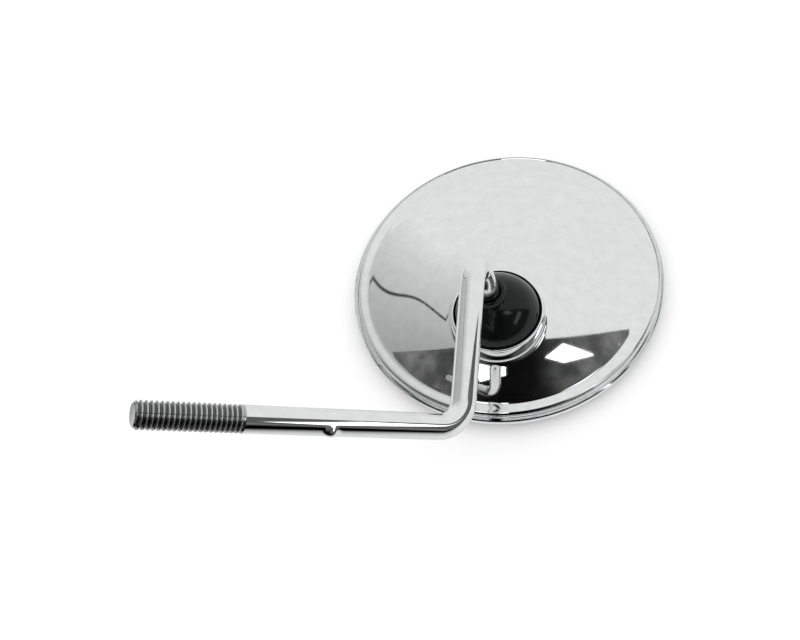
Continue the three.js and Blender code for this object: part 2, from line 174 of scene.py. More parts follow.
def ring_rows(outline, place, segments):
    """Rows for a turned piece. place carries the local Z axis to where the piece is."""
    rows = []
    for radius, height in outline:
        if radius < NO_RADIUS:
            rows.append([place @ Vector((0, 0, height))])
            continue
        row = []
        for k in range(segments):
            angle = 2 * math.pi * k / segments
            x, y = radius * math.cos(angle), radius * math.sin(angle)
            row.append(place @ Vector((x, y, height)))
        rows.append(row)
    return rows


# %% [markdown]
# ## From mesh to piece
#
# A bare mesh says nothing about what it is. Each finished one is shaded smooth, with edges sharper
# than 38 degrees kept crisp, and then told which moving body carries it and which CAD pieces it
# stands in for. One helper does all of that, so no piece is treated differently.

# %% Mesh to a finished piece on its body
SMOOTH_ANGLE = math.radians(38)


def piece(mesh, material, body, slot, *nodes):
    """Makes the object, shades it, and says what it rides on and which CAD nodes it stands for."""
    made = bpy.data.objects.new(mesh.name, mesh)
    scene.collection.objects.link(made)
    mesh.materials.clear()
    mesh.materials.append(material)
    mesh.shade_smooth()
    mesh.set_sharp_from_angle(angle=SMOOTH_ANGLE)
    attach(made, body)
    if nodes:
        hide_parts(*nodes)
    print(f"{made.name}: {len(mesh.polygons)} faces on {body}")
    return made


# %% [markdown]
# ## Finishes
#
# Two effects are shared. Polish haze is what a buffed surface has close to: a very fine grain that
# breaks the reflection, and slow patches where it is a little duller. Plate tone is a faint drift of
# colour over the surface. Each is a node group with named inputs, used with different values.

# %% Helpers for building node trees
def socket(tree, name, kind, direction, value=None):
    made = tree.interface.new_socket(name=name, in_out=direction, socket_type=kind)
    if value is not None:
        made.default_value = value
    return made


def node(tree, kind, inputs=(), **settings):
    made = tree.nodes.new(kind)
    for key, value in settings.items():
        setattr(made, key, value)
    for key, value in dict(inputs).items():
        if isinstance(value, bpy.types.NodeSocket):
            tree.links.new(value, made.inputs[key])
        else:
            made.inputs[key].default_value = value
    return made


def math_node(tree, operation, first, second=0.0, third=0.0):
    made = node(tree, "ShaderNodeMath", {0: first, 1: second, 2: third}, operation=operation)
    return made.outputs[0]


# %% Shared group: polish haze
GRAIN_SHARE = 0.35
HAZE_LOW = 0.5
HAZE_HIGH = 0.95


def polish_haze_group():
    tree = bpy.data.node_groups.new("polish haze", "ShaderNodeTree")
    socket(tree, "Grain Scale", "NodeSocketFloat", "INPUT", 900.0)
    socket(tree, "Patch Scale", "NodeSocketFloat", "INPUT", 35.0)
    socket(tree, "Smooth Roughness", "NodeSocketFloat", "INPUT", 0.03)
    socket(tree, "Dull Roughness", "NodeSocketFloat", "INPUT", 0.09)
    socket(tree, "Roughness", "NodeSocketFloat", "OUTPUT")
    socket(tree, "Height", "NodeSocketFloat", "OUTPUT")
    given = tree.nodes.new("NodeGroupInput").outputs
    coordinates = tree.nodes.new("ShaderNodeTexCoord").outputs["Object"]
    grain = node(tree, "ShaderNodeTexNoise", {
        "Vector": coordinates, "Scale": given["Grain Scale"], "Detail": 3.0, "Roughness": 0.6,
    })
    patches = node(tree, "ShaderNodeTexNoise", {
        "Vector": coordinates, "Scale": given["Patch Scale"], "Detail": 4.0, "Distortion": 0.6,
    })
    mixed = math_node(tree, "MULTIPLY_ADD", grain.outputs["Fac"], GRAIN_SHARE,
                      patches.outputs["Fac"])
    roughness = node(tree, "ShaderNodeMapRange", {
        "Value": mixed, "From Min": HAZE_LOW, "From Max": HAZE_HIGH,
        "To Min": given["Smooth Roughness"], "To Max": given["Dull Roughness"],
    })
    result = tree.nodes.new("NodeGroupOutput")
    tree.links.new(roughness.outputs["Result"], result.inputs["Roughness"])
    tree.links.new(grain.outputs["Fac"], result.inputs["Height"])
    return tree


# %% Shared group: plate tone
TONE_LOW = 0.3
TONE_HIGH = 0.7


def plate_tone_group():
    tree = bpy.data.node_groups.new("plate tone", "ShaderNodeTree")
    socket(tree, "Light Colour", "NodeSocketColor", "INPUT")
    socket(tree, "Dark Colour", "NodeSocketColor", "INPUT")
    socket(tree, "Scale", "NodeSocketFloat", "INPUT", 20.0)
    socket(tree, "Colour", "NodeSocketColor", "OUTPUT")
    given = tree.nodes.new("NodeGroupInput").outputs
    coordinates = tree.nodes.new("ShaderNodeTexCoord").outputs["Object"]
    drift = node(tree, "ShaderNodeTexNoise", {
        "Vector": coordinates, "Scale": given["Scale"], "Detail": 5.0, "Roughness": 0.55,
    })
    spread = node(tree, "ShaderNodeMapRange", {
        "Value": drift.outputs["Fac"], "From Min": TONE_LOW, "From Max": TONE_HIGH,
    })
    mix = node(tree, "ShaderNodeMix", {"Factor": spread.outputs["Result"]}, data_type="RGBA")
    tree.links.new(given["Light Colour"], mix.inputs["A"])
    tree.links.new(given["Dark Colour"], mix.inputs["B"])
    result = tree.nodes.new("NodeGroupOutput")
    tree.links.new(mix.outputs["Result"], result.inputs["Colour"])
    return tree


POLISH_HAZE = polish_haze_group()
PLATE_TONE = plate_tone_group()
print("shared effects:", POLISH_HAZE.name, "and", PLATE_TONE.name)


# %% A finish from both effects
def finish(name, light, dark, smooth, dull, metallic=0.0, grain=900.0, patch=35.0,
           tone_scale=20.0, bump=0.02, bump_depth=0.00002, **shader_settings):
    """A material whose colour, roughness and bump all change over the surface."""
    material = bpy.data.materials.new(name)
    material.use_nodes = True
    tree = material.node_tree
    shader = tree.nodes["Principled BSDF"]
    shader.inputs["Metallic"].default_value = metallic
    for key, value in shader_settings.items():
        shader.inputs[key.replace("_", " ")].default_value = value
    tone = node(tree, "ShaderNodeGroup", node_tree=PLATE_TONE)
    tone.inputs["Light Colour"].default_value = (*light, 1)
    tone.inputs["Dark Colour"].default_value = (*dark, 1)
    tone.inputs["Scale"].default_value = tone_scale
    haze = node(tree, "ShaderNodeGroup", node_tree=POLISH_HAZE)
    haze.inputs["Grain Scale"].default_value = grain
    haze.inputs["Patch Scale"].default_value = patch
    haze.inputs["Smooth Roughness"].default_value = smooth
    haze.inputs["Dull Roughness"].default_value = dull
    relief = node(tree, "ShaderNodeBump", {
        "Height": haze.outputs["Height"], "Strength": bump, "Distance": bump_depth,
    })
    tree.links.new(tone.outputs["Colour"], shader.inputs["Base Color"])
    tree.links.new(haze.outputs["Roughness"], shader.inputs["Roughness"])
    tree.links.new(relief.outputs["Normal"], shader.inputs["Normal"])
    return material


# %% [markdown]
# ## The object's finishes
#
# Each finish gives two colours that drift into each other, a roughness for its smooth and its dull
# patches, and the size of its grain in repeats per metre. Chrome is nearly a mirror with a faint
# mottle. Black plastic is glossy but reflects little. Rubber and felt hardly reflect at all.

# %% The object's finishes
CHROME = finish("bright chrome", (0.93, 0.935, 0.935), (0.85, 0.858, 0.86), 0.02, 0.07,
                metallic=1.0, grain=1400, tone_scale=260.0, bump=0.09)
MIRROR = finish("silvered glass", (0.93, 0.95, 0.95), (0.91, 0.935, 0.935), 0.0, 0.015,
                metallic=1.0, grain=300, bump=0.005)
BLACK_PLASTIC = finish("gloss black plastic", (0.0042, 0.0055, 0.0055), (0.002, 0.0026, 0.0026),
                       0.10, 0.20, grain=1800, bump=0.10, IOR=1.5, Specular_IOR_Level=0.3)
RUBBER = finish("black rubber", (0.024, 0.024, 0.024), (0.014, 0.014, 0.014), 0.6, 0.8,
                grain=2500, bump=0.4)
FELT = finish("grey felt", (0.14, 0.14, 0.135), (0.08, 0.08, 0.078), 0.9, 1.0, grain=4000,
              bump=0.8, Sheen_Weight=0.3)
PLATED_STEEL = finish("zinc plated steel", (0.58, 0.59, 0.60), (0.46, 0.47, 0.48), 0.24, 0.42,
                      metallic=1.0, grain=1100, bump=0.2)
NYLON = finish("natural nylon", (0.80, 0.78, 0.70), (0.72, 0.70, 0.61), 0.35, 0.5, grain=1500,
               bump=0.15)
print("finishes:", len(bpy.data.materials))

# %% [markdown]
# The thread is painted darker than the bar: painted shade over the whole threaded length, and deeper
# painted shade in the grooves, where shade falls. The stem carries two marks from its node tree, one
# for the threaded length and one for the depth of the groove. They darken the chrome with this
# painted shade and roughen it there. Other pieces have no such marks, so they stay bright.


# %% Painted shade and roughness on the thread
GROOVE_PAINTED_SHADE = 0.52
THREAD_PAINTED_SHADE = 0.34
THREAD_ROUGHER = 0.07
PAINTED_SHADE_COLOUR = (0.012, 0.015, 0.015, 1)


def shade_and_roughen_thread(material):
    tree = material.node_tree
    shader = tree.nodes["Principled BSDF"]
    groove = node(tree, "ShaderNodeAttribute", attribute_name="groove").outputs["Fac"]
    threaded = node(tree, "ShaderNodeAttribute", attribute_name="threaded").outputs["Fac"]
    # Painted shade: darker over the threaded length, darker still by the depth of the groove.
    thread_shade = math_node(tree, "MULTIPLY", threaded, THREAD_PAINTED_SHADE)
    amount = math_node(tree, "MULTIPLY_ADD", groove, GROOVE_PAINTED_SHADE, thread_shade)
    colour = shader.inputs["Base Color"].links[0].from_socket
    darker = node(tree, "ShaderNodeMix", {"Factor": amount}, data_type="RGBA")
    tree.links.new(colour, darker.inputs["A"])
    darker.inputs["B"].default_value = PAINTED_SHADE_COLOUR
    tree.links.new(darker.outputs["Result"], shader.inputs["Base Color"])
    roughness = shader.inputs["Roughness"].links[0].from_socket
    rougher = math_node(tree, "MULTIPLY_ADD", threaded, THREAD_ROUGHER, roughness)
    tree.links.new(rougher, shader.inputs["Roughness"])


shade_and_roughen_thread(CHROME)
print("thread dulled in:", CHROME.name)

# %% [markdown]
# ## The hidden pieces
#
# Everything between the glass and the back keeps its CAD shape: the plate, its studs, washers and
# nuts, and the ball's socket. Each one takes the finish of the slot that the record gives it.

# %% Finishes for the CAD pieces
SLOT_FINISH = {
    "bright_chrome": CHROME,
    "mirror_face": MIRROR,
    "gloss_black_plastic": BLACK_PLASTIC,
    "black_rubber": RUBBER,
    "grey_felt": FELT,
    "plated_steel": PLATED_STEEL,
    "pale_nylon": NYLON,
}
for part in record["subparts"]:
    cad_mesh = frame["nodes"][part["node"]].data
    cad_mesh.materials.clear()
    cad_mesh.materials.append(SLOT_FINISH[part["material_slot"]])
print("CAD pieces finished:", len(record["subparts"]))

# %% [markdown]
# ## The pressed back
#
# The back is one steel pressing. Its dome is part of a sphere, its edge is turned over into a light
# shoulder, and a round boss stands up where the ball joint comes through. The boss is off-centre, so
# the pressing is not a turned shape. It is built as rays that run out from the joint's axis: each ray
# is a profile that goes over the boss's lip, down its wall, through a fillet, down the dome to the
# edge, and back underneath. The boss fades into the dome on the side where the dome is high.

# %% Sizes of the pressing, in millimetres
SHEET = 0.9
DOME_RADIUS = 92
DOME_EDGE = (50.7, 8.1)
BOSS_BORE = 15.55
BOSS_TOP = 22.6
BOSS_FILLET = 1.5
BOSS_WALL = 0.55
LIP_BORE = 15.15
SHOULDER = 55.2
SHOULDER_START = 0.5
LIP_LOW = 0.12
LIP_GAIN = 0.28
LIP_STEPS = 6
LIP_INSIDE = 2.4
LIP_OUTSIDE = (1.4, 2.0)
FILLET_SHARE = 0.8
FILLET_PULL = (0.4, 0.5)
RISE_TO_STAND = 1.6
FADED_RISE = 0.2
WALL_STEP = 0.06
FILLET_STEPS = 8
SKIN_STEPS = 30
INSIDE_STEPS = 10
SHELL_RAYS = 192
dome_centre_z = DOME_EDGE[1] - math.sqrt(DOME_RADIUS**2 - DOME_EDGE[0] ** 2)
boss_y = (BALL_CENTRE.y - HEAD_CENTRE.y) / MM


def smoothstep(value, low, high):
    t = min(max((value - low) / (high - low), 0), 1)
    return t * t * (3 - 2 * t)


def dome_height(x, y, radius=DOME_RADIUS):
    return dome_centre_z + math.sqrt(max(radius**2 - x * x - y * y, 0))


def reach(direction, radius):
    """Distance from the joint's axis along a direction to a circle about the head's axis."""
    along = direction[1] * boss_y
    return -along + math.sqrt(along**2 + radius**2 - boss_y**2)


# %% One ray of the pressing
def bezier(a, b, c, d, steps):
    curve = []
    for k in range(1, steps + 1):
        t = k / steps
        s = 1 - t
        weights = (s**3, 3 * s * s * t, 3 * s * t * t, t**3)
        curve.append(tuple(sum(w * p[i] for w, p in zip(weights, (a, b, c, d))) for i in (0, 1)))
    return curve


def shell_ray(direction):
    """Closed profile of (distance from the joint's axis, height) along one direction."""
    def skin(distance, radius=DOME_RADIUS):
        return dome_height(direction[0] * distance, boss_y + direction[1] * distance, radius)

    wall = BOSS_BORE + BOSS_WALL
    standing = smoothstep(BOSS_TOP - skin(wall), 0, RISE_TO_STAND)
    lip = LIP_LOW + LIP_GAIN * standing
    top = standing * BOSS_TOP + (1 - standing) * (skin(wall) + FADED_RISE)
    fillet = min(BOSS_FILLET, FILLET_SHARE * (top - skin(wall) - 2 * lip))
    edge_bore = BOSS_BORE + (LIP_BORE - BOSS_BORE) * standing
    profile = [(BOSS_BORE, top - LIP_INSIDE * lip)]
    for k in range(LIP_STEPS + 1):
        angle = math.pi * (1 - k / LIP_STEPS)
        height = top - lip + lip * math.sin(angle)
        profile.append((edge_bore + lip + lip * math.cos(angle), height))
    profile.append((wall - WALL_STEP, top - LIP_OUTSIDE[0] * lip))
    profile.append((wall, top - LIP_OUTSIDE[1] * lip))
    start = (wall, skin(wall) + fillet)
    profile.append(start)
    end = (wall + fillet, skin(wall + fillet))
    above = (wall, skin(wall) + FILLET_PULL[0] * fillet)
    beside = wall + FILLET_PULL[1] * fillet
    profile += bezier(start, above, (beside, skin(beside)), end, FILLET_STEPS)
    edge = reach(direction, DOME_EDGE[0])
    for k in range(1, SKIN_STEPS + 1):
        distance = end[0] + (edge - end[0]) * k / SKIN_STEPS
        profile.append((distance, skin(distance)))
    for radius, height in SHOULDER_OUTSIDE + SHOULDER_INSIDE:
        profile.append((reach(direction, radius), height))
    inner_edge = reach(direction, DOME_EDGE[0] - SHOULDER_START)
    for k in range(INSIDE_STEPS + 1):
        distance = inner_edge + (BOSS_BORE - inner_edge) * k / INSIDE_STEPS
        profile.append((distance, skin(distance, DOME_RADIUS - SHEET)))
    return profile


# %% Shoulder profiles and the whole pressing
SHOULDER_OUTSIDE = [
    (51.1, 7.88), (51.6, 7.72), (52.3, 7.66), (53.2, 7.66), (54.0, 7.62), (54.6, 7.45),
    (55.0, 7.12), (SHOULDER, 6.7), (SHOULDER, 6.1), (55.7, 6.0), (55.7, 5.4),
]
SHOULDER_INSIDE = [(54.3, 5.4), (54.3, 6.4), (53.9, 6.75), (52.0, 6.85), (50.9, 7.0)]


def pressed_back():
    rays = []
    for k in range(SHELL_RAYS):
        angle = 2 * math.pi * k / SHELL_RAYS
        direction = (math.cos(angle), math.sin(angle))
        centre = Vector((BALL_CENTRE.x, BALL_CENTRE.y, 0))
        rays.append([
            centre + Vector((direction[0] * distance, direction[1] * distance, height)) * MM
            for distance, height in shell_ray(direction)
        ])
    rows = [list(row) for row in zip(*rays)]
    return grid_mesh("pressed_back", rows)


piece(pressed_back(), CHROME, "head", "bright_chrome", "back_shell")

# %% [markdown]
# ## The rolled ring
#
# The ring is a strip rolled into a bead. It holds the glass in front, and its rear lip is folded in
# over the edge of the back, which leaves a thin dark groove between the two. It is a turned shape, so
# its outline with rounded corners is carried round the head's axis.

# %% Rolled ring
RING_SEGMENTS = 256
RING_CORNERS = [
    (52.4, 0, 0.25), (RIM_RADIUS / MM, 0, 1.7), (RIM_RADIUS / MM, 6.9, 1.35), (55.5, 6.9, 0.28),
    (55.5, 6.25, 0), (56.05, 6.25, 0.1), (56.05, 0.95, 0.4), (52.4, 0.95, 0.3),
]
head_place = Matrix.Translation(HEAD_CENTRE)
ring_outline = filleted(RING_CORNERS, steps=8)
ring = grid_mesh("rolled_ring", ring_rows(ring_outline, head_place, RING_SEGMENTS))
piece(ring, CHROME, "head", "bright_chrome", "rim_ring")

# %% [markdown]
# ## The mirror glass
#
# The reflecting face bulges slightly, so that it shows a wide view. It is a thin disc bent to a
# sphere of one metre, with its edge ground round. It faces the floor here and shows from below.

# %% Mirror glass
GLASS_RADIUS = 54
GLASS_THICK = 2
GLASS_LOW = 0.7
GLASS_CURVE = 1000
GLASS_CHAMFER = 0.3
GLASS_RINGS = 12
GLASS_SEGMENTS = 192


def glass_outline():
    outline = []
    for k in range(GLASS_RINGS + 1):
        radius = (GLASS_RADIUS - GLASS_CHAMFER) * k / GLASS_RINGS
        outline.append((radius * MM, (GLASS_LOW + radius**2 / (2 * GLASS_CURVE)) * MM))
    edge_z = GLASS_LOW + GLASS_RADIUS**2 / (2 * GLASS_CURVE)
    outline.append((GLASS_RADIUS * MM, (edge_z + GLASS_CHAMFER) * MM))
    outline.append((GLASS_RADIUS * MM, (edge_z + GLASS_THICK - GLASS_CHAMFER) * MM))
    for k in range(GLASS_RINGS, -1, -1):
        radius = (GLASS_RADIUS - GLASS_CHAMFER) * k / GLASS_RINGS
        height = GLASS_LOW + GLASS_THICK + radius**2 / (2 * GLASS_CURVE)
        outline.append((radius * MM, height * MM))
    return outline


glass_rows = ring_rows(glass_outline(), head_place, GLASS_SEGMENTS)
glass = grid_mesh("glass_disc", glass_rows, closed_profile=False)
piece(glass, MIRROR, "head", "mirror_face", "mirror_glass")

# %% [markdown]
# ## The black cap
#
# The cap is a hollow moulding that rides on the stem and slides in the boss as the head is aimed. It
# is part of a sphere about the ball's centre, with a small collar round the stem. It is turned about
# the neck of the stem, which leans a few degrees.

# %% Neck direction and the cap
CROWN_FROM_BALL = Vector((-4.1, 0.9, 37.2)) * MM
NECK = CROWN_FROM_BALL.normalized()
CAP_RADIUS = 15.25
CAP_WALL = 1.8
CAP_EDGE_ANGLE = 96.7
COLLAR_RADIUS = 5.67
COLLAR_TOP = 16.1
HOLE_RADIUS = 4.27
COLLAR_FOOT = 0.55
FOOT_FILLET = (0.1, 0.25)
OUTSIDE_EDGE_TURN = 1.2
INSIDE_EDGE_TURN = 1
CAP_INSIDE = CAP_RADIUS - CAP_WALL
CAP_EDGE_RADII = (CAP_RADIUS - 0.12, CAP_RADIUS - 0.5, CAP_INSIDE + 0.3)
CAP_OUTSIDE_STEPS = 40
CAP_INSIDE_STEPS = 20
CAP_SEGMENTS = 128
COLLAR_CORNERS = [
    (HOLE_RADIUS, COLLAR_TOP - 0.3), (HOLE_RADIUS + 0.1, COLLAR_TOP - 0.1),
    (HOLE_RADIUS + 0.3, COLLAR_TOP), (COLLAR_RADIUS - 0.45, COLLAR_TOP),
    (COLLAR_RADIUS - 0.15, COLLAR_TOP - 0.1), (COLLAR_RADIUS, COLLAR_TOP - 0.4),
]
neck_lean = Vector((0, 0, 1)).rotation_difference(NECK).to_matrix().to_4x4()
neck_place = Matrix.Translation(BALL_CENTRE) @ neck_lean
print("neck leans", round(math.degrees(NECK.angle(Vector((0, 0, 1)))), 1), "degrees")


def cap_point(radius, angle):
    return radius * math.sin(angle) * MM, radius * math.cos(angle) * MM


def cap_outline():
    outline = [(radius * MM, height * MM) for radius, height in COLLAR_CORNERS]
    start = math.degrees(math.asin((COLLAR_RADIUS + COLLAR_FOOT) / CAP_RADIUS))
    foot_radius = COLLAR_RADIUS + FOOT_FILLET[0]
    foot_height = math.sqrt(CAP_RADIUS**2 - foot_radius**2) + FOOT_FILLET[1]
    outline.append((foot_radius * MM, foot_height * MM))
    outside = CAP_EDGE_ANGLE - OUTSIDE_EDGE_TURN - start
    for k in range(CAP_OUTSIDE_STEPS + 1):
        angle = math.radians(start + outside * k / CAP_OUTSIDE_STEPS)
        outline.append(cap_point(CAP_RADIUS, angle))
    for radius in CAP_EDGE_RADII:
        outline.append(cap_point(radius, math.radians(CAP_EDGE_ANGLE)))
    hole = math.degrees(math.asin(HOLE_RADIUS / CAP_INSIDE))
    inside_start = CAP_EDGE_ANGLE - INSIDE_EDGE_TURN
    for k in range(CAP_INSIDE_STEPS + 1):
        angle = math.radians(inside_start + (hole - inside_start) * k / CAP_INSIDE_STEPS)
        outline.append(cap_point(CAP_INSIDE, angle))
    return outline


cap = grid_mesh("joint_cap", ring_rows(cap_outline(), neck_place, CAP_SEGMENTS))
piece(cap, BLACK_PLASTIC, "stem_arm", "gloss_black_plastic", "ball_cap")

# %% [markdown]
# ## The stem
#
# The stem is one bar. Its shape follows a rule: a round section runs along a line with two bends, a
# thread is rolled into one end, and a small nib is coined on the side. So Geometry Nodes make it.
# The script draws the centre line as a chain of points that lie close together where the shape
# changes fast. Each point carries the bar's radius there. The node tree sweeps a circle along the
# line and moves every point of the surface in or out by the rule.

# %% Centre line with its bends
OUTER_LEG = 99.544 * MM
ELBOW_RADIUS = 9.5 * MM
CROWN_RADIUS = 7 * MM
ROD_RADIUS = 3.97 * MM
NECK_RADIUS = 3 * MM
SPIGOT_RADIUS = 2 * MM
THREAD_PITCH = 25.4 / 18 * MM
THREAD_TURNS = 21
THREAD_LENGTH = THREAD_TURNS * THREAD_PITCH
elbow = STEM_TIP - TIP_DIRECTION * OUTER_LEG
crown = BALL_CENTRE + CROWN_FROM_BALL


def bend_points(before, corner, after, radius, steps=16):
    back = (before - corner).normalized()
    ahead = (after - corner).normalized()
    half = back.angle(ahead) / 2
    start = corner + back * (radius / math.tan(half))
    centre = corner + (back + ahead).normalized() * (radius / math.sin(half))
    axis = ahead.cross(back)
    sweep = math.pi - 2 * half
    return [
        centre + Matrix.Rotation(sweep * k / steps, 3, axis) @ (start - centre)
        for k in range(steps + 1)
    ]


# %% Stations along the bar
THREAD_STATIONS = 16
NIB_STATION = 0.4 * MM
PLAIN_STATION = 2 * MM
THREAD_MARGIN = 2 * MM
NIB_END = 60
NECK_TOP = 14
NECK_STEPS = [
    (13.9, ROD_RADIUS), (13.2, NECK_RADIUS), (6.1, NECK_RADIUS),
    (6.0, SPIGOT_RADIUS), (-3.0, SPIGOT_RADIUS),
]


def straight(start, end, spacing):
    count = max(1, round((end - start).length / spacing))
    return [start.lerp(end, k / count) for k in range(count)]


def stem_stations():
    """Points of the centre line from the tip to the ball, with the bar's radius at each."""
    into = -TIP_DIRECTION
    elbow_bend = bend_points(STEM_TIP, elbow, crown, ELBOW_RADIUS)
    crown_bend = bend_points(elbow, crown, BALL_CENTRE, CROWN_RADIUS)
    thread_end = STEM_TIP + into * (THREAD_LENGTH + THREAD_MARGIN)
    nib_end = STEM_TIP + into * NIB_END * MM
    neck_top = BALL_CENTRE + NECK * NECK_TOP * MM
    stations = straight(STEM_TIP, thread_end, THREAD_PITCH / THREAD_STATIONS)
    stations += straight(thread_end, nib_end, NIB_STATION)
    stations += straight(nib_end, elbow_bend[0], PLAIN_STATION)
    stations += elbow_bend[:-1]
    stations += straight(elbow_bend[-1], crown_bend[0], PLAIN_STATION)
    stations += crown_bend[:-1]
    stations += straight(crown_bend[-1], neck_top, PLAIN_STATION)
    radii = [ROD_RADIUS] * len(stations)
    for height, radius in NECK_STEPS:
        stations.append(BALL_CENTRE + NECK * height * MM)
        radii.append(radius)
    return stations, radii


stations, radii = stem_stations()
line_mesh = bpy.data.meshes.new("stem_bar")
line_mesh.from_pydata(stations, [(k, k + 1) for k in range(len(stations) - 1)], [])
bar_radius = line_mesh.attributes.new("bar_radius", "FLOAT", "POINT")
bar_radius.data.foreach_set("value", radii)
print("stem stations:", len(stations))


# %% [markdown]
# ## The bar's node tree
#
# Curve to Mesh sweeps a plain circle along the line. Three facts are captured before the sweep, so
# that they survive it: how far along the bar each point is, where the centre line runs there, and how
# far round the bar the point is. A helix only adds the first and the last, so the thread needs no
# model of its own. Its sizes are named inputs, so the same tree would make another bar.

# %% Node tree: inputs
def new_geometry_tree(name, inputs):
    tree = bpy.data.node_groups.new(name, "GeometryNodeTree")
    socket(tree, "Geometry", "NodeSocketGeometry", "INPUT")
    for label, kind, value in inputs:
        socket(tree, label, kind, "INPUT", value)
    socket(tree, "Geometry", "NodeSocketGeometry", "OUTPUT")
    return tree


STEM_INPUTS = [
    ("Thread Pitch", "NodeSocketFloat", THREAD_PITCH),
    ("Thread Length", "NodeSocketFloat", THREAD_LENGTH),
    ("Thread Depth", "NodeSocketFloat", 0.66 * MM),
    ("Tip Chamfer", "NodeSocketFloat", 0.9 * MM),
    ("Nib From Tip", "NodeSocketFloat", 55.3 * MM),
    ("Nib Width", "NodeSocketFloat", 2.1 * MM),
    ("Nib Height", "NodeSocketFloat", 1.15 * MM),
    ("Nib Direction", "NodeSocketVector", (0.154, -0.937, 0.311)),
    ("Sides", "NodeSocketInt", 48),
    ("Material", "NodeSocketMaterial", None),
]


# %% Node tree: sweep, thread and nib
def stem_tree():
    tree = new_geometry_tree("threaded bent bar", STEM_INPUTS)
    given = tree.nodes.new("NodeGroupInput").outputs
    curve = node(tree, "GeometryNodeMeshToCurve", {"Mesh": given["Geometry"]}).outputs["Curve"]
    along = node(tree, "GeometryNodeSplineParameter")
    keep = node(tree, "GeometryNodeCaptureAttribute", {"Geometry": curve})
    keep.capture_items.new("FLOAT", "Along")
    keep.capture_items.new("VECTOR", "Centre")
    tree.links.new(along.outputs["Length"], keep.inputs["Along"])
    tree.links.new(tree.nodes.new("GeometryNodeInputPosition").outputs[0], keep.inputs["Centre"])
    circle = node(tree, "GeometryNodeCurvePrimitiveCircle", {
        "Resolution": given["Sides"], "Radius": 1.0 * MM,
    })
    around = node(tree, "GeometryNodeSplineParameter")
    turn_keep = node(tree, "GeometryNodeCaptureAttribute", {"Geometry": circle.outputs["Curve"]})
    turn_keep.capture_items.new("FLOAT", "Turn")
    tree.links.new(around.outputs["Factor"], turn_keep.inputs["Turn"])
    swept = node(tree, "GeometryNodeCurveToMesh", {
        "Curve": keep.outputs["Geometry"], "Profile Curve": turn_keep.outputs["Geometry"],
        "Fill Caps": True,
    }).outputs["Mesh"]
    length = keep.outputs["Along"]
    centre = keep.outputs["Centre"]
    position = tree.nodes.new("GeometryNodeInputPosition").outputs[0]
    offset = node(tree, "ShaderNodeVectorMath", {0: position, 1: centre}, operation="SUBTRACT")
    radial = node(tree, "ShaderNodeVectorMath", {0: offset.outputs[0]}, operation="NORMALIZE")
    radius = node(tree, "GeometryNodeInputNamedAttribute", {"Name": "bar_radius"},
                  data_type="FLOAT").outputs[0]
    groove = thread_depth(tree, given, length, turn_keep.outputs["Turn"])
    bump = nib_height(tree, given, length, radial.outputs[0])
    chamfer = math_node(tree, "SUBTRACT", given["Tip Chamfer"], length)
    chamfer = math_node(tree, "MAXIMUM", chamfer, 0.0)
    threaded = math_node(tree, "SUBTRACT", radius, math_node(tree, "MAXIMUM", groove, chamfer))
    total = math_node(tree, "ADD", threaded, bump)
    arm = node(tree, "ShaderNodeVectorMath", {0: radial.outputs[0], "Scale": total},
               operation="SCALE")
    place = node(tree, "ShaderNodeVectorMath", {0: centre, 1: arm.outputs[0]}, operation="ADD")
    # The groove and threaded marks feed the painted shade on the thread in the chrome finish.
    depth_share = math_node(tree, "DIVIDE", groove, given["Thread Depth"])
    in_thread = math_node(tree, "LESS_THAN", length, given["Thread Length"])
    marked = node(tree, "GeometryNodeStoreNamedAttribute", {
        "Geometry": swept, "Name": "groove", "Value": depth_share,
    }, data_type="FLOAT")
    marked = node(tree, "GeometryNodeStoreNamedAttribute", {
        "Geometry": marked.outputs["Geometry"], "Name": "threaded", "Value": in_thread,
    }, data_type="FLOAT")
    moved = node(tree, "GeometryNodeSetPosition", {
        "Geometry": marked.outputs["Geometry"], "Position": place.outputs[0],
    })
    real = node(tree, "GeometryNodeRealizeInstances", {"Geometry": moved.outputs["Geometry"]})
    coated = node(tree, "GeometryNodeSetMaterial", {
        "Geometry": real.outputs["Geometry"], "Material": given["Material"],
    })
    result = tree.nodes.new("NodeGroupOutput")
    tree.links.new(coated.outputs["Geometry"], result.inputs["Geometry"])
    return tree


# %% [markdown]
# ## Rules for thread and nib
#
# The thread repeats once for each pitch, and its start moves round with the turn. Its crests and
# roots are a little flat, as on a rolled thread, and it fades out over its last turn. The nib is a
# bell-shaped rise about one point on the side of the bar.

# %% Rule for the thread
CREST_FLAT = 0.06
ROOT_FLAT = 0.44


def thread_depth(tree, given, length, turn):
    """How deep the groove is: a rounded V that advances one pitch for each turn."""
    advance = math_node(tree, "DIVIDE", length, given["Thread Pitch"])
    phase = math_node(tree, "FRACT", math_node(tree, "ADD", advance, turn))
    wave = math_node(tree, "PINGPONG", phase, 0.5)
    shaped = node(tree, "ShaderNodeMapRange", {
        "Value": wave, "From Min": CREST_FLAT, "From Max": ROOT_FLAT, "To Min": 0.0, "To Max": 1.0,
    }, interpolation_type="SMOOTHSTEP").outputs["Result"]
    fade_start = math_node(tree, "SUBTRACT", given["Thread Length"], given["Thread Pitch"])
    run_out = node(tree, "ShaderNodeMapRange", {
        "Value": length, "From Min": fade_start, "From Max": given["Thread Length"],
        "To Min": 1.0, "To Max": 0.0,
    }, interpolation_type="SMOOTHSTEP").outputs["Result"]
    depth = math_node(tree, "MULTIPLY", shaped, given["Thread Depth"])
    return math_node(tree, "MULTIPLY", depth, run_out)


# %% Rule for the nib
NIB_SIDE_FALL = 9.0
NIB_STEEPNESS = 1.7


